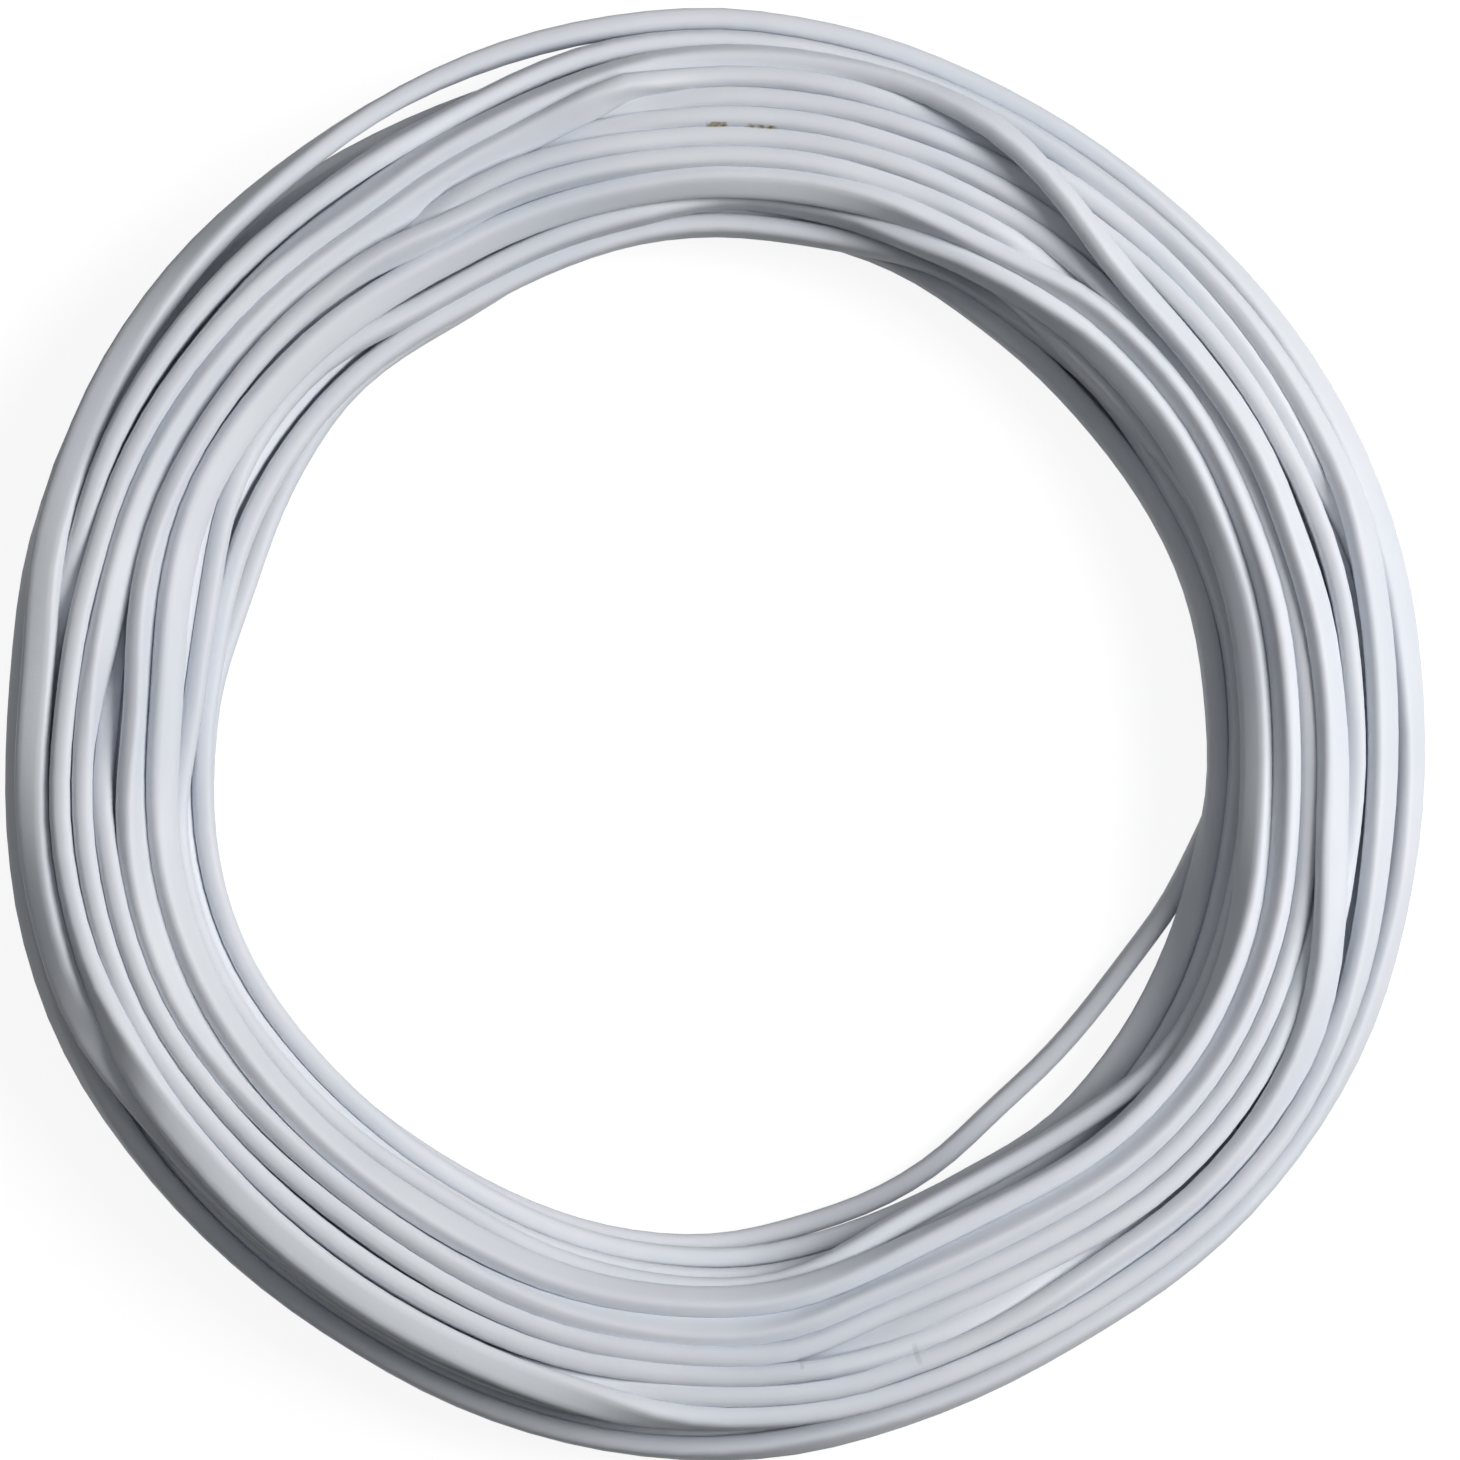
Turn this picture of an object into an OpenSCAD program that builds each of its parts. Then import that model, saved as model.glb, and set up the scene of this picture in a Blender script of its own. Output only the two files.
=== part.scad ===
// Coil of flat twin-core power cord, lying on its side face.
//
// The cord is wound with its narrow edge up, so a lane of the coil is one
// cord thickness wide and a layer is about one cord width high. Layers with
// more and fewer lanes give the bundle its rounded section. Three stretches
// leave the tight bundle: a slack turn round the outside, a slack stretch
// inside the hole, and a turn that crosses over the top.

/* [Cord] */
// Width of the flat cord, across both cores
cord_w = 5.4; // [4.6:0.1:6.4]
// Thickness of the flat cord
cord_t = 3.4; // [2.8:0.1:4]

/* [Coil] */
// Diameter of the hole that the coil was wound round
hole_d = 166.8; // [120:0.2:260]
// Turns side by side in the widest layer
widest_lanes = 9; // [5:1:12]
// Layers of turns on each other, an odd number
layers = 5; // [3:2:7]
// Depth of the groove left between two neighbouring turns
groove_depth = 0.8; // [0.4:0.1:1.2]
// How far a layer presses into the one under it
layer_press = 0.2; // [0.1:0.1:0.6]

/* [Slack turns] */
// Gap between a slack turn and the bundle where it lies against it
rest_gap = 0.3; // [0.2:0.1:0.8]

/* [Hidden] */

cord_color = [0.86, 0.88, 0.91];
edge_r = cord_t / 2;

// Turns in neighbouring layers nest half a lane apart, like stacked pipes.
layer_rise = cord_w - cord_t + sqrt(3) * edge_r - layer_press;
coil_h = (layers - 1) * layer_rise + cord_w;
coil_inner_r = hole_d / 2;
coil_outer_r = coil_inner_r + widest_lanes * cord_t;
coil_mid_r = (coil_inner_r + coil_outer_r) / 2;
middle_layer = (layers - 1) / 2;

// Where the middle of a slack turn runs when it touches the bundle.
beside = rest_gap + cord_t / 2;

// Routes of the slack turns, point by point. The outer and inner turns give
// the angle round the coil, how far the cord stands off from where it would
// touch the bundle, and the height of its middle above the table. The
// crossing turn gives the angle, how far its middle lies in from the
// bundle's outer side, and its height above where it lies on the bundle.
outer_route = [
    [52, 0, 12.5], [68, 0.2, 12], [84, 1, 11.5], [100, 2, 11], [116, 2.2, 11], [132, 1.8, 11],
    [148, 0.5, 11.5], [164, 0.1, 12], [180, 0, 12.5], [196, 0, 12.5], [212, 0, 12.5],
    [228, 0, 12], [244, 0, 12], [260, 0, 12], [276, 0, 12], [292, 0, 12], [308, 0, 12],
    [324, 0, 12], [340, 0, 12], [356, 0, 12], [372, 0, 12], [388, 0, 12]
];
inner_route = [
    [22, 0.5, 2.9], [12, 1, 2.9], [2, 1.6, 2.9], [-8, 2.2, 2.9], [-18, 4.2, 2.9], [-28, 6.8, 2.9],
    [-38, 7.8, 2.9], [-48, 7.8, 2.9], [-58, 5.8, 2.9], [-68, 2.6, 2.9], [-78, 0.6, 2.9]
];
crossing_route = [
    [92, 4, 0], [82, 4, 0], [72, 4.6, 0], [63, 7.6, 0], [55, 11, 0],
    [47, 13.6, 0], [38, 14.4, 0], [26, 14, 0], [14, 13, 0]
];

// Rings swept between two neighbouring points of a route.
outer_steps = 2;
inner_steps = 1;
crossing_steps = 2;
ring_sides = 8;

// ---- Winding ----

// Turns in one layer: the widest in the middle, one fewer for each layer away.
function lanes(layer) = widest_lanes - abs(layer - middle_layer);

// Radius of the middle of one turn.
function lane_r(layer, lane) = coil_mid_r + (lane - (lanes(layer) - 1) / 2) * cord_t;

// Half section of one turn standing on its narrow edge: a flat with two round edges.
module turn_profile() {
    translate([-edge_r, edge_r]) square([cord_t, cord_w - cord_t]);
    for (z = [edge_r, cord_w - edge_r]) {
        translate([0, z]) circle(r = edge_r, $fn = 48);
    }
}

// Section of one layer: its turns side by side.
module layer_profile(layer) {
    for (lane = [0 : lanes(layer) - 1]) {
        translate([lane_r(layer, lane), 0]) turn_profile();
    }
}

// A band of the section's filling, as wide as the middles of a layer's turns.
module filling(layer, z_low, z_high) {
    first = lane_r(layer, 0);
    last = lane_r(layer, lanes(layer) - 1);
    translate([first, z_low]) square([last - first, z_high - z_low]);
}

// Section of the whole bundle: the turns, with the inside filled and the
// grooves between them filled up to the groove depth, because the turns
// press into each other. The lowest turns are flattened by the weight.
module bundle_profile() {
    for (layer = [0 : layers - 1]) {
        z = layer * layer_rise;
        translate([0, z]) layer_profile(layer);
        filling(layer, z + edge_r, z + cord_w - edge_r);
        if (layer < middle_layer) filling(layer, z + edge_r, z + cord_w);
        if (layer > middle_layer) filling(layer, z, z + cord_w - edge_r);
    }
    filling(0, 0, edge_r);
    filling(layers - 1, coil_h - cord_w, coil_h - groove_depth);
}

module coil() {
    color(cord_color) rotate_extrude($fn = 180) bundle_profile();
}

// ---- Slack turns ----

// A point of a slack turn from angle, radius and height.
function round_coil(angle, r, z) = [r * cos(angle), r * sin(angle), z];

// Smooth curve through a route: Catmull-Rom between points i and i + 1.
function between(a, b, c, d, u) =
    b + u / 2 * (c - a + u * (2 * a - 5 * b + 4 * c - d + u * (3 * (b - c) + d - a)));
function route_at(route, i, u) =
    let (last = len(route) - 1)
    between(route[max(i - 1, 0)], route[i], route[min(i + 1, last)], route[min(i + 2, last)], u);
function smooth(route, steps) = [
    for (i = [0 : len(route) - 2]) for (s = [0 : steps - 1]) route_at(route, i, s / steps),
    route[len(route) - 1]
];

// Eight-sided outline of the cord, tall (on edge) or wide (flat), as [across, up].
function cord_outline(across, up) = [
    for (k = [0 : ring_sides - 1])
        let (a = (k + 0.5) * 360 / ring_sides,
             r = min(across, up) / 2 / cos(180 / ring_sides),
             spare = max(across, up) - min(across, up))
        [r * cos(a) + (across > up ? sign(cos(a)) * spare / 2 : 0),
         r * sin(a) + (up > across ? sign(sin(a)) * spare / 2 : 0)]
];

function unit(v) = v / norm(v);

// One ring of the cord: its outline set square to the way the cord runs.
function ring_at(path, i, outline) =
    let (last = len(path) - 1,
         along = unit(path[min(i + 1, last)] - path[max(i - 1, 0)]),
         side = unit(cross([0, 0, 1], along)),
         up = cross(along, side))
    [for (p = outline) path[i] + p[0] * side + p[1] * up];

// The cord swept along a path, closed with a flat face at each end.
module sweep_cord(path, outline) {
    sides = len(outline);
    rings = len(path);
    points = [for (i = [0 : rings - 1]) each ring_at(path, i, outline)];
    skin = [
        for (i = [0 : rings - 2]) for (k = [0 : sides - 1])
            let (a = i * sides + k, b = i * sides + (k + 1) % sides)
            each [[a, b, b + sides], [a, b + sides, a + sides]]
    ];
    start_face = [for (k = [sides - 1 : -1 : 0]) k];
    end_face = [for (k = [0 : sides - 1]) (rings - 1) * sides + k];
    color(cord_color) polyhedron(points, concat([start_face, end_face], skin));
}

module outer_turn() {
    half_step = (outer_route[1][0] - outer_route[0][0]) / outer_steps / 2;
    r = (coil_outer_r + rest_gap) / cos(half_step) + cord_t / 2;
    path = [for (p = smooth(outer_route, outer_steps)) round_coil(p[0], r + p[1], p[2])];
    sweep_cord(path, cord_outline(cord_t, cord_w));
}

module inner_turn() {
    r = lane_r(0, 0) - edge_r - beside;
    path = [for (p = smooth(inner_route, inner_steps)) round_coil(p[0], r - p[1], p[2])];
    sweep_cord(path, cord_outline(cord_t, cord_w));
}

module crossing_turn() {
    z = coil_h + beside;
    route = smooth(crossing_route, crossing_steps);
    path = [for (p = route) round_coil(p[0], coil_outer_r - p[1], z + p[2])];
    sweep_cord(path, cord_outline(cord_w, cord_t));
}

coil();
outer_turn();
inner_turn();
crossing_turn();
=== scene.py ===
import math

import bpy
import numpy as np
from mathutils import Matrix, Vector


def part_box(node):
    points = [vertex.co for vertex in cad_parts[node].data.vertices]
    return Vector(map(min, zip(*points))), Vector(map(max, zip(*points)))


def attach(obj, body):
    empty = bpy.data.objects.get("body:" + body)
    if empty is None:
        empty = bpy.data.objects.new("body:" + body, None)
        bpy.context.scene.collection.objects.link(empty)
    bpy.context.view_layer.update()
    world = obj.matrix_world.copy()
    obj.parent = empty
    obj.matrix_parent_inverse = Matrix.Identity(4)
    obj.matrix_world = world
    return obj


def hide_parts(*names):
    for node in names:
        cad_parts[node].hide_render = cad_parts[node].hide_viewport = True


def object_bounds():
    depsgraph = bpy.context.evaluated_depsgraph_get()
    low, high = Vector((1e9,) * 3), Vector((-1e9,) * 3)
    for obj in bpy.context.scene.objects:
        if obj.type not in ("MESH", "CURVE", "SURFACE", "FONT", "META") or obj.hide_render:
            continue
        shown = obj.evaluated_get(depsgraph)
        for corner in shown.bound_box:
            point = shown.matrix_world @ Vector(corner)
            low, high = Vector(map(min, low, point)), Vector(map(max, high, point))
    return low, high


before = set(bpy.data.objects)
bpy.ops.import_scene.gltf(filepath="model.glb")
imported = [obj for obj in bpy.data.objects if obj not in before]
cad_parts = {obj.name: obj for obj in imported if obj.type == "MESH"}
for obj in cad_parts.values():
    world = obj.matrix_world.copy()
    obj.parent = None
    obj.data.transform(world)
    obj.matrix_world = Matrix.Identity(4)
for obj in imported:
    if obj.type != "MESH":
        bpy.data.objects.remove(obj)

bl_info = {
    "name": "Coil of Flat Cord",
    "version": (1, 0, 0),
    "blender": (4, 5, 0),
    "location": "3D View > Sidebar > Cord",
    "description": "Winds a length of flat twin cord into a loose coil on a studio floor",
    "category": "Object",
}

MM = 0.001
LOW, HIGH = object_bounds()
COIL_LOW, COIL_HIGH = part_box("coil")
COIL_OUTER = (COIL_HIGH[0] - COIL_LOW[0]) / 2 / MM

EDGE_POWER = 0.75       # 1 makes the narrow edges half round, less makes them squarer
SHEATH_WALL = 0.6       # millimetres of sheath outside the cores
STATIONS = 120          # places round the coil where the cord's section is set
STEP_DEGREES = 360 / STATIONS
FIRST_ANGLE = 90.0      # each turn is counted clockwise from here
ROUND_STEPS = 8         # sides of each rounded edge of the cord
CORE_SIDES = 20         # sides of a core
INSULATION_REACH = 0.8  # millimetres that the insulation stands out of a cut end
COPPER_REACH = 1.3      # and the copper

# How firmly a turn is drawn to its place in each round of settling, sideways and in height.
HIDDEN_HOLD = (0.08, 0.02)
LOOSE_HOLD = (0.01, 0.02)
GUIDED_HOLD = (0.25, 0.1)
SHOWN_HOLD = (0.3, 0.06)
COVERED_HOLD = (0.02, 0.01)
SHOWN_ABOVE = 20.6      # a top turn shows where it runs above this height
SHOWN_OUTSIDE = 14.5    # or farther out than this from the middle of the bundle
SIDEWAYS_SHARE = 0.3    # share of the sideways hold that one round applies
ROLL_HOLD = 0.05        # how firmly every turn is drawn to its roll

SINK = 0.03             # millimetres that the turns sink in each round
SINK_UNTIL = 0.85       # share of the rounds in which they sink
SEARCH_EVERY = 8        # rounds between two searches for neighbours
NEAR = 1.2              # millimetres over the cord's width within which turns are neighbours
PUSH = 1.5              # more than 1 clears an overlap in fewer rounds
STIFF_SIDEWAYS = 0.03   # how much sharp bends are evened out in each round
STIFF_UP = 0.05
STIFF_ROLL = 0.05

# How far the whole bundle wanders from a true circle: (angle, millimetres outward).
SWAY = [
    (90, 0.3), (60, -0.3), (35, 0.3), (15, 0), (0, -0.8), (-10, -0.3), (-22, 1.5), (-32, 2.2),
    (-44, 1.8), (-60, -0.3), (-72, 0), (-85, 1.7), (-100, 1.6), (-125, 0.2), (-140, 0.8),
    (-155, 1.8), (-168, 0.8), (-182, -1.3), (-205, 0), (-220, -0.4), (-238, -1.5), (-255, -0.7),
    (-270, 0.3),
]

# Hidden layers from the floor up: turns in each, whether they run outward or inward, and the
# angles between which each turn moves over to the next lane.
LAYERS = [(7, "out", -150, -190), (8, "in", -100, -140), (9, "out", 84, 56)]
# The loose layer under the top: offsets of its turns from the middle of the bundle.
LOOSE_LAYER = [8, 1.2, -5.6]
LOOSE_SHIFT = (84, 56)
RISE_BELOW = 0.6        # the last hidden turn comes up this far below the first top turn

# The hidden layers leave a slit behind the wall turn here: (angle, millimetres outward).
HIDDEN_SWAY = [
    (90, 0), (40, 0), (28, 0), (10, 1.3), (-3, 1.3), (-16, 0), (-28, 0), (-270, 0),
]

# The way-points below are (angle, millimetres outward from the middle of the bundle, height of
# the cord's middle, roll in degrees: 0 stands on its narrow edge, 90 lies flat).

# The lowest inner turn slips out into the hole and back.
FLOOR_TURN = [
    (90, -11.5, 2.7, 0), (72, -9.8, 2.7, 0), (60, -10.8, 2.7, 0), (40, -11.2, 2.7, 0),
    (20, -10.4, 2.7, 0), (10, -8.8, 2.7, 0), (0, -8.9, 2.7, 0), (-6, -11, 2.7, 0),
    (-12, -14.2, 2.7, 0), (-20, -18, 2.7, 0), (-25, -20.5, 2.7, 0), (-30, -22, 2.7, 0),
    (-41, -23, 2.7, 0), (-51, -22, 2.7, 0), (-61, -18.7, 2.7, 0),
    (-71, -17.3, 2.7, 0), (-81, -17.5, 2.7, 0), (-91, -16.5, 2.7, 0), (-110, -15.5, 2.7, 0),
    (-130, -14.5, 2.7, 0), (-147, -13.7, 2.7, 0), (-165, -14, 2.7, 0), (-180, -13.5, 2.7, 0),
    (-200, -17.2, 2.7, 0), (-212, -16, 2.7, 0), (-225, -14, 2.7, 0), (-242, -14, 2.7, 0),
    (-255, -11, 2.7, 0), (-270, -7, 2.7, 0),
]
# The last turn of the second layer hangs over the floor turn on the inner side.
WALL_TURN = [
    (90, -13.1, 8, 0), (72, -11.4, 8, 0), (60, -13, 8, 0), (40, -14.6, 8, 0), (20, -13.4, 8, 0),
    (8, -13.1, 8, 0), (-8, -13, 8, 0), (-16, -14, 8, 30), (-26, -14.8, 8, 60),
    (-40, -14.4, 8.2, 80), (-52, -13, 8.3, 70), (-64, -13.3, 8.4, 25), (-74, -13.9, 8.4, 0),
    (-90, -14.2, 8.4, 0), (-110, -13.8, 9.5, 0), (-130, -13.6, 11.5, 0), (-150, -13.5, 12.6, 0),
    (-180, -13.4, 12.6, 0), (-200, -14.5, 12.6, 0), (-225, -14.5, 12.6, 0),
    (-242, -15, 12.6, 0), (-260, -14, 12.6, 0), (-270, -13.6, 12.6, 0),
]

# The turns that show on top, in the order in which they were wound.
TOP_TURNS = [
    [  # inner crest, leaning over the inner wall
        (90, -10.2, 16.6, 0), (80, -10.1, 18.4, 10), (70, -9.8, 20.4, 25), (50, -9, 21.4, 40),
        (30, -8.9, 21.2, 45), (20, -9, 21, 50), (0, -9, 21, 50), (-10, -8.9, 21, 40),
        (-20, -8.6, 21.2, 25), (-30, -8.2, 21.5, 15), (-50, -8, 21.6, 10),
        (-70, -8.5, 21.5, 25), (-90, -6.8, 21.7, 45), (-110, -6, 21.7, 40), (-140, -5.6, 22, 30),
        (-165, -6.5, 21.5, 50), (-180, -7, 21.5, 50), (-200, -6, 21.5, 50), (-220, -7, 21.5, 45),
        (-240, -8, 21, 45), (-260, -8.5, 21.5, 40),
    ],
    [
        (90, -8.2, 22.6, 60), (75, -7.8, 22.8, 50), (60, -7.5, 22.5, 30), (50, -6, 23, 40),
        (40, -5.5, 23, 45), (20, -6, 23, 40), (0, -5, 23, 30), (-20, -4, 23, 40), (-50, -4, 23, 45),
        (-70, -4.5, 23, 40), (-80, -3, 22.6, 20), (-90, -2, 22.8, 60), (-110, -1.5, 22.6, 20),
        (-140, -1.5, 22.6, 20), (-150, -1.3, 22.8, 60), (-170, -2, 22.8, 40),
        (-178, -2.5, 22.6, 20), (-190, -1.5, 22.6, 30), (-210, -2, 22.6, 0),
        (-230, -2.5, 22.6, 10), (-250, -4, 22.6, 10), (-262, -4.8, 22.6, 10),
    ],
    [
        (90, -5, 22.6, 0), (75, -4.5, 22.6, 0), (62, -4.8, 22, 0), (48, -3.5, 20, 0),
        (30, -2.5, 18.5, 0), (0, -2.2, 18, 0), (-190, -2, 18, 0), (-222, -1.6, 18, 0),
        (-232, -1.2, 18.8, 0), (-240, -0.1, 21, 0), (-247, 0.1, 22.4, 0), (-262, -1.2, 22.6, 0),
    ],
    [
        (90, -1.6, 22.6, 0), (70, -1, 22.6, 0), (58, -1, 22, 0), (42, -2, 20.7, 0),
        (20, -2, 20.7, 0), (0, -1, 22, 0), (-20, 0, 22.6, 0), (-50, 0, 22.6, 0),
        (-70, -0.3, 22.6, 0), (-82, 1.5, 22.6, 0), (-100, 2.2, 22.6, 0), (-130, 2, 22.6, 0),
        (-150, 3, 22.6, 0), (-166, 2.6, 22.2, 0), (-180, 3.2, 19.8, 0), (-200, 4, 18, 0),
        (-230, 4, 18, 0), (-248, 3, 19.5, 0), (-262, 2.2, 22.2, 0),
    ],
    [
        (90, 1.9, 22.6, 0), (75, 2.5, 22.6, 0), (61, 2.5, 22, 0), (48, 2.5, 20.4, 0),
        (30, 3.5, 20.4, 0), (0, 4.2, 20.4, 0), (-12, 3.6, 21.2, 0), (-22, 3, 22.2, 0),
        (-40, 3.3, 22.6, 0), (-60, 3, 22.6, 0), (-75, 3, 22.2, 0), (-88, 4.3, 19.8, 0),
        (-105, 4.6, 18, 0), (-150, 4.6, 18, 0), (-185, 5.5, 18, 0), (-200, 7, 18, 0),
        (-230, 7.5, 18, 0), (-250, 6.3, 19.5, 0), (-264, 5.4, 22.2, 0),
    ],
    [
        (90, 5.3, 22.6, 0), (60, 5.5, 22.6, 0), (30, 5.5, 22.6, 0), (10, 6.3, 22.6, 0),
        (-10, 6.4, 22, 0), (-22, 6, 20.2, 0), (-35, 5, 18.5, 0), (-48, 5, 19, 0),
        (-58, 5.4, 21.5, 0), (-68, 5.6, 22.6, 0), (-90, 5, 22.6, 0), (-110, 5.6, 22.6, 0),
        (-170, 5.5, 22.6, 0), (-180, 5, 22.6, 20), (-190, 3.6, 22.8, 60), (-200, 2.8, 23, 55),
        (-220, 2, 23, 45), (-238, 1.8, 23, 65), (-249, 3.8, 23, 60), (-259, 6, 22.8, 40),
    ],
    [
        (90, 8.3, 22.2, 20), (75, 9.5, 22.2, 0), (50, 9.3, 21.4, 0), (40, 9.1, 20.8, 0),
        (22, 9, 20.6, 0), (13, 9.6, 20, 0), (6, 12.6, 18.2, -20), (0, 15, 17.5, -30),
        (-10, 14.8, 17.5, -25), (-25, 12.8, 17.6, 0), (-60, 12, 17.6, 0), (-100, 11.2, 17.5, 0),
        (-150, 11.2, 17.5, 0), (-176, 11.4, 18, 0), (-188, 10.8, 20, 0), (-198, 10.5, 22, 0),
        (-230, 10.7, 22, 0), (-240, 11.6, 21.2, -10), (-249, 13.2, 19.5, -20),
        (-259, 16, 18, -20),
    ],
    [
        (90, 16.5, 17.8, -20), (75, 15.6, 18.8, -20), (61, 14.3, 20.2, -25), (50, 12.6, 21.5, -40),
        (30, 12.3, 22.2, -50), (20, 12.4, 22.6, -55), (10, 11.9, 23.2, -60), (0, 11.6, 23.3, -60),
        (-10, 11.6, 22.8, -50), (-20, 11.8, 22.2, -35), (-30, 12, 22, -15), (-50, 12, 22, 0),
        (-70, 12.4, 22, 0), (-82, 12, 22, 0), (-91, 11, 22.8, -20), (-101, 10.6, 24, -60),
        (-111, 10.5, 24.3, -75), (-121, 10.6, 24.3, -80), (-132, 10.4, 24.3, -78),
        (-145, 9.9, 24, -65), (-158, 9.5, 22.8, -30), (-170, 9.3, 22.6, 0),
        (-178, 9, 22.6, 0), (-188, 8.4, 22.6, 0), (-198, 7, 22.6, 0), (-208, 6.3, 22.6, 0),
        (-225, 6, 22.8, -30), (-240, 7, 22.8, -45), (-250, 8.5, 22.8, -35), (-260, 11, 22.4, -35),
    ],
    [  # crosses over five others, then slips down the outer side
        (90, 12.6, 22, -30), (76, 12.8, 23, -30), (68, 11, 25.6, -30),
        (61, 7.8, 27.6, -30), (56, 4.8, 27.8, -35), (51, 2, 27.2, -45), (45, 1, 25.9, -45),
        (38, 0.9, 25, -45), (20, 0.7, 25, -50), (10, 1.8, 25, -58), (0, 2.5, 25, -62),
        (-4, 2.7, 25.2, -78), (-7, 2.8, 24.9, -66), (-12, 3.4, 25, -72), (-19, 4.8, 25.3, -84),
        (-22, 5.6, 25, -74), (-30, 8, 24.2, -60), (-41, 8.3, 23.4, -40),
        (-60, 8.2, 23.2, -40), (-72, 8.5, 22.8, -20), (-91, 7.6, 22.6, 0), (-97, 7.8, 22, -40),
        (-103, 9.2, 21.2, -80), (-111, 10.4, 20.8, -85), (-125, 10.8, 20.8, -85),
        (-140, 11.2, 20.8, -80), (-150, 12.2, 20.8, -65), (-160, 13.2, 21.2, -50),
        (-172, 13.7, 22, -64), (-181, 13.8, 22.6, -78), (-191, 14.1, 22.6, -84),
        (-201, 14.8, 22.3, -82), (-211, 15.7, 21.6, -72), (-221, 16.7, 20.3, -50),
        (-231, 17.9, 19, -28), (-241, 19.4, 18, -12), (-251, 20, 17.2, 0), (-262, 20.2, 16.8, 0),
    ],
    [  # outermost turn
        (90, 20.2, 16.6, 0), (75, 19.4, 16.8, -10), (60, 18.5, 17.2, -20), (50, 17.6, 17.6, -30),
        (40, 17.2, 18.2, -45), (30, 17, 19, -60), (20, 16.9, 19.8, -65), (0, 16.8, 19.8, -60),
        (-10, 16.5, 19.2, -50), (-20, 16.2, 18.4, -40), (-41, 15.6, 16.8, -15),
        (-60, 15.9, 16.4, -15), (-71, 16.3, 15.5, -10), (-81, 15.6, 15, -10),
        (-91, 15.5, 14, -10), (-110, 16, 12.8, 0), (-130, 16.2, 12.4, 0), (-150, 15.6, 13.2, -10),
        (-165, 15.2, 14, -30), (-190, 15.6, 14, -30), (-205, 16, 12, -15), (-217, 16.3, 10, 0),
        (-228, 16.5, 8.6, 0), (-237, 16.4, 8, 0), (-247, 15.7, 8, 0), (-270, 15.3, 8, 0),
    ],
]
CORD_STARTS_AT = 80      # angle on the first turn
CORD_ENDS_AT = -267      # angle on the last turn

# Small marks on the top of the coil: (angle in degrees, then in millimetres the distance from
# the middle of the ring, the height, half the length along the cord and half the width across).
STAINS = [(91.0, 99.2, 24.0, 2.2, 0.45), (86.7, 99.2, 24.0, 3.0, 0.4)]
# The creases are small dents whose darker colour is painted shade, standing in for the shade inside
# each crease.
CREASES_WITH_PAINTED_SHADE = [(-73.3, 106.4, 25.0, 0.55, 2.3), (-83.5, 104.0, 25.0, 0.4, 1.2)]
MARK_CORE = 0.5          # share of a mark's half size that is fully marked
MARK_HEIGHTS = (2, 4)    # millimetres above or below a mark between which it fades out


# ---- Sizes and colours ----

class CordSizes(bpy.types.PropertyGroup):
    width: bpy.props.FloatProperty(
        name="Width", description="Width of the flat cord across both cores",
        default=5.4 * MM, min=3 * MM, max=9 * MM, unit="LENGTH")
    thickness: bpy.props.FloatProperty(
        name="Thickness", description="Thickness of the flat cord",
        default=3.4 * MM, min=2 * MM, max=5 * MM, unit="LENGTH")
    core_diameter: bpy.props.FloatProperty(
        name="Core diameter", description="Diameter over the insulation of one core",
        default=2.0 * MM, min=1 * MM, max=3 * MM, unit="LENGTH")
    copper_diameter: bpy.props.FloatProperty(
        name="Copper diameter", description="Diameter of the copper strands of one core",
        default=1.1 * MM, min=0.5 * MM, max=2 * MM, unit="LENGTH")
    settle_steps: bpy.props.IntProperty(
        name="Settling steps", description="Rounds in which the turns are let lie on each other",
        default=600, min=0, max=2000)


class CordColours(bpy.types.PropertyGroup):
    sheath: bpy.props.FloatVectorProperty(
        name="Sheath", description="Colour of the outer sheath",
        default=(0.76, 0.785, 0.83), size=3, min=0, max=1, subtype="COLOR")
    sheath_cool: bpy.props.FloatVectorProperty(
        name="Sheath, cooler patches", description="Colour of the bluish patches of the sheath",
        default=(0.71, 0.745, 0.805), size=3, min=0, max=1, subtype="COLOR")
    stain: bpy.props.FloatVectorProperty(
        name="Stain", description="Colour of the small yellow-brown stain in one groove",
        default=(0.30, 0.22, 0.10), size=3, min=0, max=1, subtype="COLOR")
    copper: bpy.props.FloatVectorProperty(
        name="Copper", description="Colour of the cut copper strands",
        default=(0.75, 0.36, 0.18), size=3, min=0, max=1, subtype="COLOR")


# ---- Shader expressions ----

class Shade:
    """A node tree whose sockets take part in Python expressions."""

    def __init__(self, name):
        self.material = bpy.data.materials.new(name)
        self.material.use_nodes = True
        self.tree = self.material.node_tree
        self.tree.nodes.clear()

    def node(self, kind, settings=None, **sockets):
        """Adds a node of that type: its settings first, then its sockets' values or links."""
        made = self.tree.nodes.new(kind)
        for key, value in (settings or {}).items():
            setattr(made, key, value)
        for key, value in sockets.items():
            self.put(made.inputs[int(key[1:]) if key[0] == "i" and key[1:].isdigit()
                                 else key.replace("_", " ")], value)
        return made

    def put(self, socket, value):
        if isinstance(value, Value):
            self.tree.links.new(value.socket, socket)
        elif isinstance(value, bpy.types.NodeSocket):
            self.tree.links.new(value, socket)
        else:
            socket.default_value = value

    def value(self, kind, settings=None, output=0, **sockets):
        return Value(self, self.node(kind, settings, **sockets).outputs[output])

    def math(self, operation, first, second=0.0):
        return self.value("ShaderNodeMath", {"operation": operation}, i0=first, i1=second)

    def vector(self, operation, first, second, output=0):
        return self.value("ShaderNodeVectorMath", {"operation": operation}, output,
                          i0=first, i1=second)

    def colour(self, factor, first, second):
        return self.value("ShaderNodeMix", {"data_type": "RGBA"}, 2, i0=factor, i6=first, i7=second)


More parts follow.
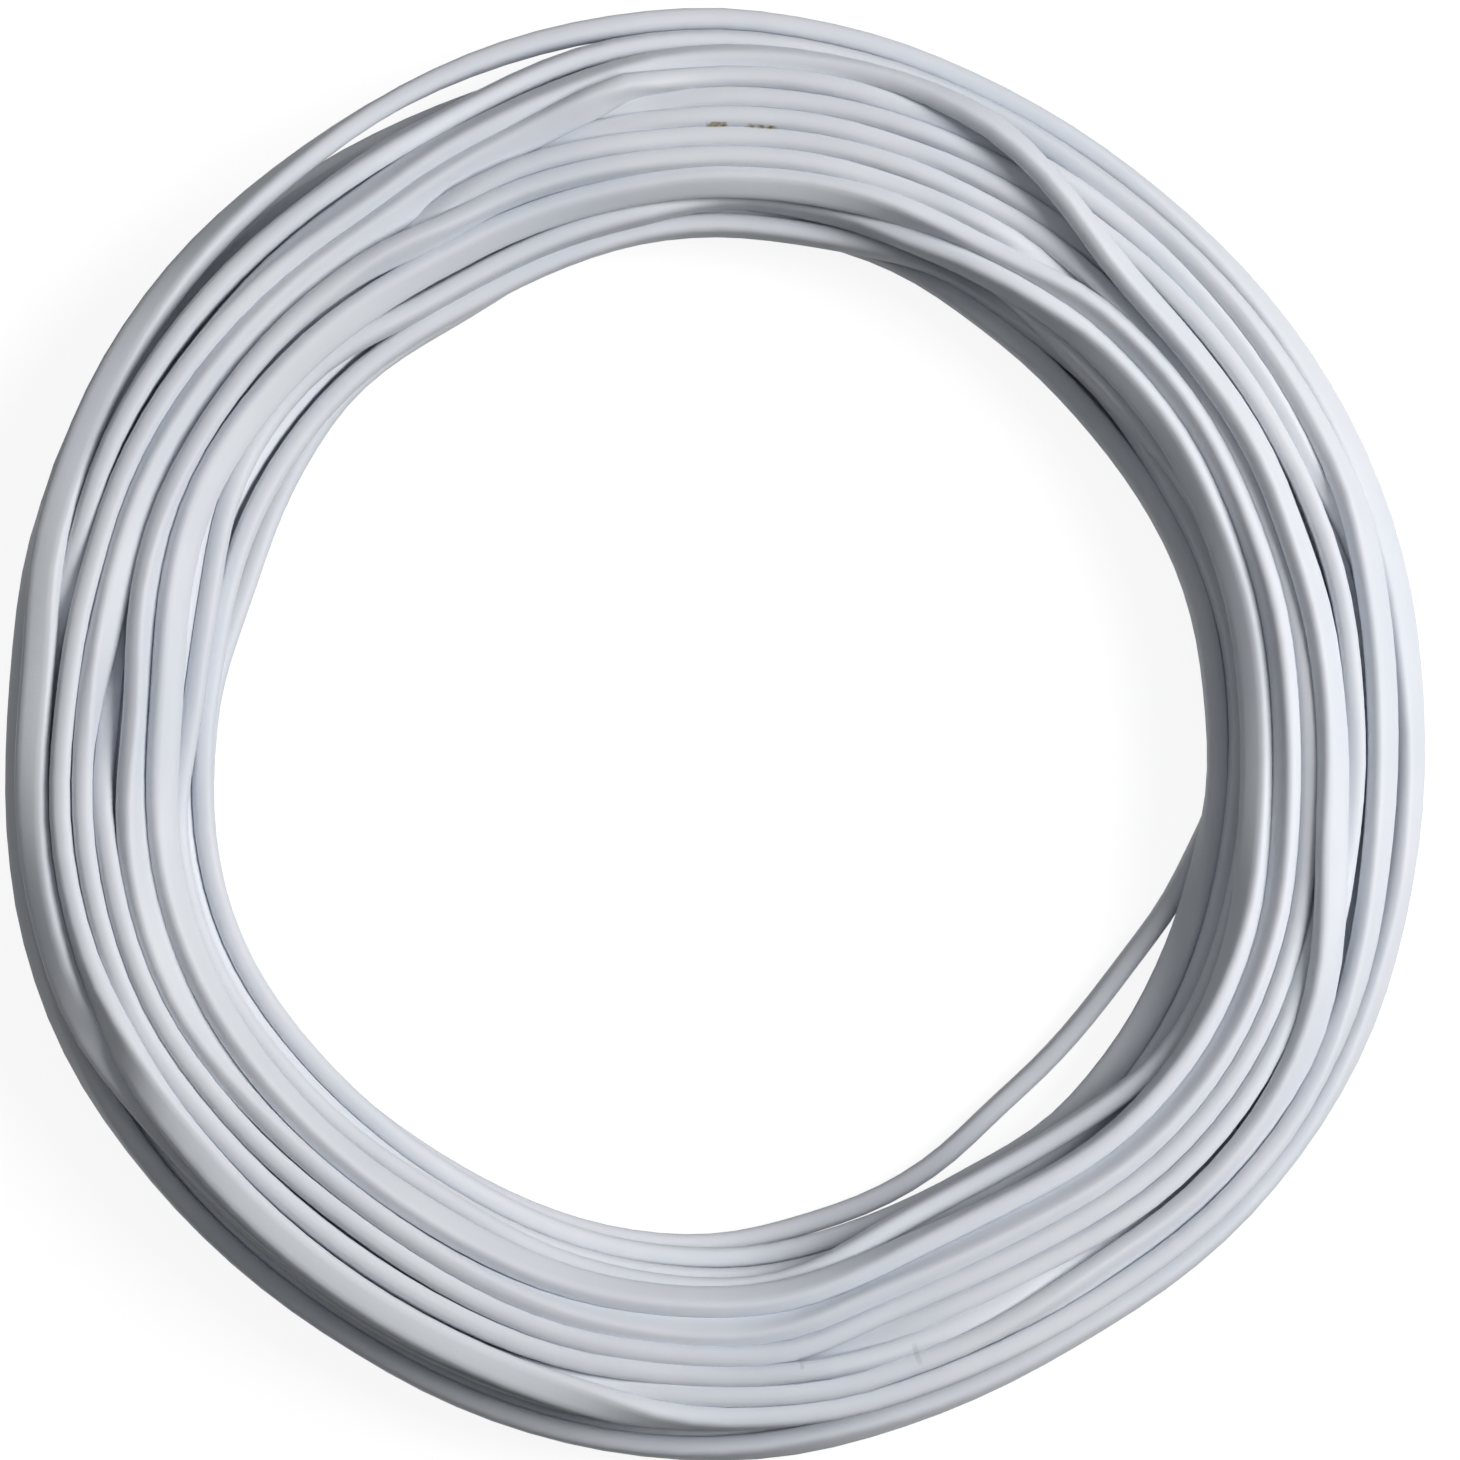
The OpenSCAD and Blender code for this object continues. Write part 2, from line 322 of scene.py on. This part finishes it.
class Value:
    """One number that varies over a surface."""

    def __init__(self, shade, socket):
        self.shade = shade
        self.socket = socket

    def __add__(self, other):
        return self.shade.math("ADD", self, other)

    def __sub__(self, other):
        return self.shade.math("SUBTRACT", self, other)

    def __rsub__(self, other):
        return self.shade.math("SUBTRACT", other, self)

    def __mul__(self, other):
        return self.shade.math("MULTIPLY", self, other)

    def __abs__(self):
        return self.shade.math("ABSOLUTE", self)

    __radd__ = __add__
    __rmul__ = __mul__

    def ramp(self, low, high):
        """0 at low and 1 at high, smooth between."""
        return self.shade.value("ShaderNodeMapRange", {"interpolation_type": "SMOOTHSTEP"},
                                Value=self, From_Min=low, From_Max=high)


def rgba(colour):
    return (*colour, 1.0)


# ---- The route of the cord ----

def curve_through(points, angles, column):
    """Smooth values at the angles, through one column of way-points that run down in angle."""
    at = np.array([-p[0] for p in points], float)
    value = np.array([p[column] for p in points], float)
    where = -np.asarray(angles, float)
    step = np.diff(at)
    slope = np.diff(value) / step
    tangent = np.zeros(len(at))
    tangent[1:-1] = (slope[:-1] * step[1:] + slope[1:] * step[:-1]) / (step[:-1] + step[1:])
    tangent[0], tangent[-1] = slope[0], slope[-1]
    i = np.clip(np.searchsorted(at, where, side="right") - 1, 0, len(step) - 1)
    u = np.clip((where - at[i]) / step[i], 0, 1)
    h = step[i]
    return ((1 + 2 * u) * (1 - u) ** 2 * value[i] + u * (1 - u) ** 2 * h * tangent[i]
            + u * u * (3 - 2 * u) * value[i + 1] + u * u * (u - 1) * h * tangent[i + 1])


def smooth_step(x):
    x = np.clip(x, 0, 1)
    return x * x * (3 - 2 * x)


class Winding:
    """The cord as rows of stations: one row for each turn, one station every few degrees."""

    def __init__(self, sizes):
        self.thickness = sizes.thickness / MM
        self.width = sizes.width / MM
        self.edge = self.thickness / 2
        self.spare = (self.width - self.thickness) / 2
        self.middle = COIL_OUTER - LAYERS[2][0] * self.thickness / 2
        self.angles = FIRST_ANGLE - STEP_DEGREES * np.arange(STATIONS)
        self.sway = curve_through(SWAY, self.angles, 1)
        self.rows = []
        self.hidden_rows()
        self.top_rows()
        self.joined()

    def layer_height(self, layer):
        """Height of the middle of a hidden layer whose turns nest in the one under it."""
        return self.width / 2 + layer * (self.width - self.thickness
                                         + math.sqrt(3) * self.edge)

    def slots(self):
        """Places that the hidden turns fill one after another: (offset, height, where each
        moves over to the next place)."""
        for layer, (turns, way, *shift) in enumerate(LAYERS):
            places = [(i - (turns - 1) / 2) * self.thickness for i in range(turns)]
            for offset in places if way == "out" else reversed(places):
                yield offset, self.layer_height(layer), shift
        for offset in LOOSE_LAYER:
            yield offset, self.layer_height(len(LAYERS)), LOOSE_SHIFT
        _, offset, height, _ = TOP_TURNS[0][0]
        yield offset, height - RISE_BELOW, None

    def hidden_rows(self):
        slots = list(self.slots())
        sway = curve_through(HIDDEN_SWAY, self.angles, 1)
        for here, after in zip(slots, slots[1:]):
            start, stop = here[2]
            moved = smooth_step((self.angles - start) / (stop - start))
            offset = here[0] + (after[0] - here[0]) * moved + sway
            height = here[1] + (after[1] - here[1]) * moved
            hold = LOOSE_HOLD if here[2] is LOOSE_SHIFT else HIDDEN_HOLD
            self.rows.append(self.row(offset, height, 0 * moved, *hold))
        self.guide(0, FLOOR_TURN)
        self.guide(LAYERS[0][0] + LAYERS[1][0] - 1, WALL_TURN)

    def guide(self, number, points):
        """Sets a hidden row on way-points of its own."""
        self.rows[number] = self.row(*self.route(points), *GUIDED_HOLD)

    def top_rows(self):
        for number, points in enumerate(TOP_TURNS):
            after = TOP_TURNS[number + 1][0] if number + 1 < len(TOP_TURNS) else None
            if after:
                points = points + [(after[0] - 360, *after[1:])]
            offset, height, roll = self.route(points)
            shown = (height > SHOWN_ABOVE) | (offset > SHOWN_OUTSIDE) | (number == 0)
            hold = (np.where(shown, *both) for both in zip(SHOWN_HOLD, COVERED_HOLD))
            self.rows.append(self.row(offset, height, roll, *hold))

    def route(self, points):
        """Offset, height and roll of a turn at each station, through its way-points."""
        return [curve_through(points, self.angles, column) for column in (1, 2, 3)]

    def row(self, offset, height, roll, hold, hold_height):
        every = np.ones(STATIONS)
        return offset, height, roll, hold * every, hold_height * every

    def joined(self):
        """The rows as one run of stations from end to end of the cord."""
        offset, height, roll, hold, hold_height = (np.concatenate(c) for c in zip(*self.rows))
        self.count = len(offset)
        self.station = np.arange(self.count) % STATIONS
        self.r = self.middle + offset + self.sway[self.station]
        self.z = height.copy()
        self.roll = np.radians(roll)
        self.r_aim, self.z_aim, self.roll_aim = self.r.copy(), self.z.copy(), self.roll.copy()
        self.hold, self.hold_height = hold, hold_height
        run = FIRST_ANGLE - STEP_DEGREES * np.arange(self.count)
        last_turn = FIRST_ANGLE - 360 * (len(self.rows) - 1)
        self.alive = (run <= CORD_STARTS_AT) & (run >= last_turn - FIRST_ANGLE + CORD_ENDS_AT)

    # ---- Settling ----

    def pairs(self):
        """Stations of two turns that lie near each other in the same place round the coil."""
        near = self.width + NEAR
        rows = len(self.rows)
        a, b = np.triu_indices(rows, 1)
        first = (a[:, None] * STATIONS + np.arange(STATIONS)).ravel()
        second = (b[:, None] * STATIONS + np.arange(STATIONS)).ravel()
        gap2 = (self.r[first] - self.r[second]) ** 2 + (self.z[first] - self.z[second]) ** 2
        keep = (gap2 < near * near) & self.alive[first] & self.alive[second]
        return first[keep], second[keep]

    def push_apart(self, first, second):
        """Moves and rolls each pair of stations that overlap, by half each."""
        steps = np.array([-1.0, 0.0, 1.0]) * self.spare
        sin, cos = np.sin(self.roll), np.cos(self.roll)
        ar = self.r[first][:, None] + steps * sin[first][:, None]
        az = self.z[first][:, None] + steps * cos[first][:, None]
        br = self.r[second][:, None] + steps * sin[second][:, None]
        bz = self.z[second][:, None] + steps * cos[second][:, None]
        dr = ar[:, :, None] - br[:, None, :]
        dz = az[:, :, None] - bz[:, None, :]
        gap = np.sqrt(dr * dr + dz * dz).reshape(len(first), 9)
        best = gap.argmin(1)
        line = np.arange(len(first))
        gap = np.maximum(gap[line, best], 1e-6)
        over = self.thickness - gap
        touch = over > 0
        first, second, best, line = first[touch], second[touch], best[touch], line[touch]
        over, gap = over[touch], gap[touch]
        nr = dr.reshape(-1, 9)[line, best] / gap
        nz = dz.reshape(-1, 9)[line, best] / gap
        lever_a = steps[best // 3] * (cos[first] * nr - sin[first] * nz)
        lever_b = steps[best % 3] * (cos[second] * nr - sin[second] * nz)
        inertia = (self.width ** 2 + self.thickness ** 2) / 12
        ease = over / (2 + (lever_a ** 2 + lever_b ** 2) / inertia)
        both = np.concatenate([first, second])
        count = np.maximum(np.bincount(both, minlength=self.count), 1)

        def spread(values_a, values_b):
            moved = np.bincount(both, np.concatenate([values_a, -values_b]), self.count)
            return moved / count * PUSH

        self.r += spread(ease * nr, ease * nr)
        self.z += spread(ease * nz, ease * nz)
        self.roll += spread(ease * lever_a / inertia, ease * lever_b / inertia)

    def stiffen(self, values, amount):
        """Evens out sharp bends along the cord."""
        bend = np.zeros_like(values)
        bend[1:-1] = values[:-2] - 2 * values[1:-1] + values[2:]
        push = np.zeros_like(values)
        push[1:-1] = bend[:-2] - 2 * bend[1:-1] + bend[2:]
        values -= amount * push

    def settle(self, steps):
        """Lets the turns sink on each other, drawn to their places and pushed apart."""
        for step in range(steps):
            if step % SEARCH_EVERY == 0:
                first, second = self.pairs()
            late = step > steps * SINK_UNTIL
            self.z -= 0.0 if late else SINK
            self.r += (self.r_aim - self.r) * self.hold * SIDEWAYS_SHARE
            self.z += (self.z_aim - self.z) * self.hold_height
            self.roll += (self.roll_aim - self.roll) * ROLL_HOLD
            self.stiffen(self.r, STIFF_SIDEWAYS)
            self.stiffen(self.z, STIFF_UP)
            self.stiffen(self.roll, STIFF_ROLL)
            self.push_apart(first, second)
            reach = self.edge + self.spare * np.abs(np.cos(self.roll))
            self.z = np.maximum(self.z, reach)

    def path(self):
        """Middle of the cord at each station, in metres, and the direction of its width there."""
        keep = np.nonzero(self.alive)[0]
        angle = np.radians(FIRST_ANGLE - STEP_DEGREES * self.station[keep])
        out = np.stack([np.cos(angle), np.sin(angle), 0 * angle], 1)
        middle = (out * self.r[keep, None] + [0, 0, 1] * self.z[keep, None]) * MM
        up = np.sin(self.roll[keep, None]) * out + np.cos(self.roll[keep, None]) * [0, 0, 1]
        return middle, up


# ---- Meshes ----

def unit(v):
    return v / np.linalg.norm(v, axis=-1, keepdims=True)


def cord_section(sizes):
    """Outline of the cord: two flats and two squarish round edges, as (across, along)."""
    edge = sizes.thickness / 2
    spare = (sizes.width - sizes.thickness) / 2
    points = []
    for side in (1, -1):
        for k in range(ROUND_STEPS + 1):
            a = math.pi * k / ROUND_STEPS
            across = math.copysign(abs(math.cos(a)) ** EDGE_POWER, math.cos(a))
            along = spare + edge * math.sin(a) ** EDGE_POWER
            points.append((side * edge * across, side * along))
    return np.array(points)


def tube(middle, up, section):
    """Corners and faces of a closed tube with that section along the path."""
    along = unit(np.gradient(middle, axis=0))
    up = unit(up - along * np.sum(up * along, 1, keepdims=True))
    side = np.cross(along, up)
    rings = (middle[:, None] + section[None, :, :1] * side[:, None]
             + section[None, :, 1:] * up[:, None])
    count, sides = rings.shape[:2]
    ring = np.arange(count - 1)[:, None] * sides
    corner = np.arange(sides)[None]
    after = (corner + 1) % sides
    quads = np.stack([ring + corner, ring + after, ring + sides + after, ring + sides + corner], -1)
    faces = quads.reshape(-1, 4).tolist()
    faces.append(list(range(sides))[::-1])
    faces.append([(count - 1) * sides + s for s in range(sides)])
    return rings.reshape(-1, 3), faces


def tube_mesh(name, tubes):
    """One mesh of several tubes, smooth along their length and flat at their ends."""
    corners, faces = [], []
    for points, polygons in tubes:
        first = len(corners)
        corners.extend(points.tolist())
        faces.extend([[k + first for k in polygon] for polygon in polygons])
    mesh = bpy.data.meshes.new(name)
    mesh.from_pydata(corners, [], faces)
    mesh.polygons.foreach_set("use_smooth", [len(polygon) == 4 for polygon in faces])
    mesh.update()
    return mesh


def round_section(radius):
    turns = np.linspace(0, 2 * math.pi, CORE_SIDES, endpoint=False)
    return radius * np.stack([np.cos(turns), np.sin(turns)], 1)


def core_tubes(middle, up, sizes, radius, reach):
    """Short round rods that stand out of both ends of the cord, one for each core."""
    apart = (sizes.width - sizes.core_diameter) / 2 - SHEATH_WALL * MM
    for end, inner in ((0, 1), (-1, -2)):
        along = unit(middle[end] - middle[inner])
        across = unit(up[end] - along * np.dot(up[end], along))
        for side in (-1, 1):
            start = middle[end] + across * side * apart - along * MM
            line = np.array([start, start + along * (reach + 1) * MM])
            yield tube(line, np.array([across, across]), round_section(radius))


def add_object(name, mesh, material):
    made = bpy.data.objects.new(name, mesh)
    bpy.context.collection.objects.link(made)
    made.data.materials.append(material)
    return made


# ---- Materials ----

def marked(shade, place, marks):
    """1 inside the marks of a list and 0 away from them."""
    whole = 0.0
    for angle, r, height, half_length, half_width in marks:
        turn = math.radians(angle)
        out = Vector((math.cos(turn), math.sin(turn), 0))
        middle = (out * r + Vector((0, 0, height))) * MM
        from_middle = shade.vector("SUBTRACT", place, middle)
        along = shade.vector("DOT_PRODUCT", from_middle, Vector((-out.y, out.x, 0)), output=1)
        across = shade.vector("DOT_PRODUCT", from_middle, out, output=1)
        above = shade.vector("DOT_PRODUCT", from_middle, Vector((0, 0, 1)), output=1)
        one = 1 - abs(along).ramp(half_length * MARK_CORE * MM, half_length * MM)
        one = one * (1 - abs(across).ramp(half_width * MARK_CORE * MM, half_width * MM))
        one = one * (1 - abs(above).ramp(*(height * MM for height in MARK_HEIGHTS)))
        whole = one + whole
    return whole


def sheath_material(colours):
    """Satin white PVC with faint cool patches, fine grain, a small stain and a few creases, dented
    and darkened with painted shade.
    """
    s = Shade("SheathPVC")
    place = s.value("ShaderNodeTexCoord", output=3)
    patches = s.value("ShaderNodeTexNoise", Vector=place, Scale=30.0, Detail=3.0)
    grain = s.value("ShaderNodeTexNoise", Vector=place, Scale=1800.0, Detail=2.0)
    ripple = s.value("ShaderNodeTexNoise", Vector=place, Scale=140.0, Detail=2.0)
    blotch = s.value("ShaderNodeTexNoise", Vector=place, Scale=900.0, Detail=3.0)
    stained = marked(s, place, STAINS) * blotch.ramp(0.35, 0.6)
    crease_dent_and_painted_shade = marked(s, place, CREASES_WITH_PAINTED_SHADE)
    base = s.colour(patches.ramp(0.35, 0.7), rgba(colours.sheath), rgba(colours.sheath_cool))
    base = s.colour(stained * 0.85, base, rgba(colours.stain))
    # Painted shade: the creases are darkened towards a deeper cool grey, as shade would fall in
    # them.
    base = s.colour(crease_dent_and_painted_shade * 0.3, base, rgba([0.6 * c for c in colours.sheath_cool]))
    rough = 0.4 + patches * 0.12 + grain * 0.05
    height = ripple * 0.5 + grain * 0.08 - crease_dent_and_painted_shade * 0.15
    bump = s.value("ShaderNodeBump", Strength=0.4, Distance=0.0004, Height=height)
    shader = s.node("ShaderNodeBsdfPrincipled", Base_Color=base, Roughness=rough, Normal=bump,
                    IOR=1.46)
    s.node("ShaderNodeOutputMaterial", Surface=shader.outputs[0])
    return s.material


def copper_material(colours):
    """Cut copper strands, rougher and darker towards the gaps between them."""
    s = Shade("CutCopper")
    place = s.value("ShaderNodeTexCoord", output=3)
    strands = s.value("ShaderNodeTexVoronoi", Vector=place, Scale=4500.0)
    darker_between_strands = s.colour(strands.ramp(0.1, 0.6), rgba(colours.copper), (0.32, 0.16, 0.09, 1))
    bump = s.value("ShaderNodeBump", Strength=0.6, Distance=0.0001, Height=1 - strands)
    shader = s.node("ShaderNodeBsdfPrincipled", Base_Color=darker_between_strands, Roughness=0.35 + strands * 0.2,
                    Metallic=1.0, Normal=bump)
    s.node("ShaderNodeOutputMaterial", Surface=shader.outputs[0])
    return s.material


def floor_material():
    """Plain white floor that keeps a pale shadow and throws little light back up."""
    s = Shade("StudioFloor")
    path = s.node("ShaderNodeLightPath")
    seen = s.math("MAXIMUM", path.outputs["Is Camera Ray"], path.outputs["Is Glossy Ray"])
    seen = s.math("MAXIMUM", seen, path.outputs["Is Transmission Ray"])
    glow = s.node("ShaderNodeEmission", Color=(1, 1, 1, 1), Strength=0.9)
    lit = s.node("ShaderNodeBsdfDiffuse", Color=(0.2, 0.2, 0.2, 1))
    white = s.node("ShaderNodeAddShader", i0=glow.outputs[0], i1=lit.outputs[0])
    dim = s.node("ShaderNodeBsdfDiffuse", Color=(0.055, 0.06, 0.065, 1))
    both = s.node("ShaderNodeMixShader", i0=seen, i1=dim.outputs[0], i2=white.outputs[0])
    s.node("ShaderNodeOutputMaterial", Surface=both.outputs[0])
    return s.material


# ---- Operators ----

class CORD_OT_stage(bpy.types.Operator):
    """Camera, floor and lamps"""
    bl_idname = "cord.stage"
    bl_label = "Set Up Stage"

    def execute(self, context):
        self.camera(context.scene)
        self.floor()
        self.lamps(context.scene)
        context.scene.view_settings.view_transform = "Standard"
        return {"FINISHED"}

    def camera(self, scene):
        """Looks almost straight down, leaning ten degrees towards the lower left."""
        target = Vector((2.3, 0.5, 10)) * MM
        tilt, azimuth, distance = math.radians(10), math.radians(225), 800 * MM
        back = Vector((math.sin(tilt) * math.cos(azimuth), math.sin(tilt) * math.sin(azimuth),
                       math.cos(tilt)))
        right = (-back).cross(Vector((0, 1, 0))).normalized()
        up = right.cross(-back)
        data = bpy.data.cameras.new("StageCamera")
        seen_width = 241.5 * MM
        data.lens = data.sensor_width * distance / seen_width
        data.clip_start, data.clip_end = 0.05, 20
        made = bpy.data.objects.new("StageCamera", data)
        bpy.context.collection.objects.link(made)
        turn = Matrix((right, up, back)).transposed()
        made.matrix_world = Matrix.LocRotScale(target + back * distance, turn.to_quaternion(), None)
        scene.camera = made

    def floor(self):
        mesh = bpy.data.meshes.new("StageFloor")
        half = 4.0
        level = LOW[2] - 0.05 * MM
        corners = [(-half, -half, level), (half, -half, level), (half, half, level),
                   (-half, half, level)]
        mesh.from_pydata(corners, [], [(0, 1, 2, 3)])
        add_object("StageFloor", mesh, floor_material())

    def lamps(self, scene):
        self.lamp("KeyLamp", azimuth=8, elevation=45, distance=1.35, size=0.9, watts=18.3,
                  colour=(0.99, 0.985, 0.98))
        self.lamp("SideLamp", azimuth=165, elevation=40, distance=1.8, size=0.8, watts=3.0,
                  colour=(0.98, 0.99, 1.0))
        self.lamp("FillLamp", azimuth=60, elevation=82, distance=1.8, size=1.4, watts=2.5,
                  colour=(0.97, 0.985, 1.0))
        world = bpy.data.worlds.new("StageWorld")
        world.use_nodes = True
        sky = world.node_tree.nodes["Background"]
        sky.inputs[0].default_value = (0.88, 0.95, 1.0, 1)
        sky.inputs[1].default_value = 0.035
        scene.world = world

    def lamp(self, name, azimuth, elevation, distance, size, watts, colour):
        data = bpy.data.lights.new(name, "AREA")
        data.shape, data.size, data.energy, data.color = "DISK", size, watts, colour
        made = bpy.data.objects.new(name, data)
        bpy.context.collection.objects.link(made)
        a, e = math.radians(azimuth), math.radians(elevation)
        back = Vector((math.cos(e) * math.cos(a), math.cos(e) * math.sin(a), math.sin(e)))
        made.location = back * distance
        made.rotation_mode = "QUATERNION"
        made.rotation_quaternion = back.to_track_quat("Z", "Y")


class CORD_OT_cord(bpy.types.Operator):
    """The whole cord, wound turn by turn and let settle"""
    bl_idname = "cord.cord"
    bl_label = "Wind Cord"

    def execute(self, context):
        sizes = context.scene.cord_sizes
        winding = Winding(sizes)
        winding.settle(sizes.settle_steps)
        middle, up = winding.path()
        mesh = tube_mesh("Cord", [tube(middle, up, cord_section(sizes))])
        sheath = sheath_material(context.scene.cord_colours)
        cord = add_object("Cord", mesh, sheath)
        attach(cord, "root")
        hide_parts("coil", "outer_turn", "inner_turn", "crossing_turn")
        cores = self.cut_ends(context, middle, up, sheath)
        length = float(np.linalg.norm(np.diff(middle, axis=0), axis=1).sum())
        return {"FINISHED"}

    def cut_ends(self, context, middle, up, sheath):
        """The two cores that show at each cut end: insulation and copper."""
        sizes = context.scene.cord_sizes
        pieces = []
        for name, slot, diameter, reach, material in (
                ("CoreInsulation", "sheath", sizes.core_diameter, INSULATION_REACH, sheath),
                ("CoreCopper", "copper", sizes.copper_diameter, COPPER_REACH,
                 copper_material(context.scene.cord_colours))):
            tubes = core_tubes(middle, up, sizes, diameter / 2, reach)
            piece = add_object(name, tube_mesh(name, tubes), material)
            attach(piece, "root")
            pieces.append(piece)
        return pieces


class CORD_PT_panel(bpy.types.Panel):
    """Shows the cord's sizes and colours, and buttons for the operators"""
    bl_label = "Coil of Flat Cord"
    bl_idname = "CORD_PT_panel"
    bl_space_type = "VIEW_3D"
    bl_region_type = "UI"
    bl_category = "Cord"

    def draw(self, context):
        for name in ("width", "thickness", "core_diameter", "copper_diameter", "settle_steps"):
            self.layout.prop(context.scene.cord_sizes, name)
        for name in ("sheath", "sheath_cool", "stain", "copper"):
            self.layout.prop(context.scene.cord_colours, name)
        for operator in OPERATORS:
            self.layout.operator(operator.bl_idname)


OPERATORS = (CORD_OT_stage, CORD_OT_cord)
CLASSES = (CordSizes, CordColours, *OPERATORS, CORD_PT_panel)


def register():
    for cls in CLASSES:
        bpy.utils.register_class(cls)
    bpy.types.Scene.cord_sizes = bpy.props.PointerProperty(type=CordSizes)
    bpy.types.Scene.cord_colours = bpy.props.PointerProperty(type=CordColours)


def unregister():
    del bpy.types.Scene.cord_colours
    del bpy.types.Scene.cord_sizes
    for cls in reversed(CLASSES):
        bpy.utils.unregister_class(cls)


def main():
    register()
    bpy.ops.cord.stage()
    bpy.ops.cord.cord()


if __name__ == "__main__":
    main()
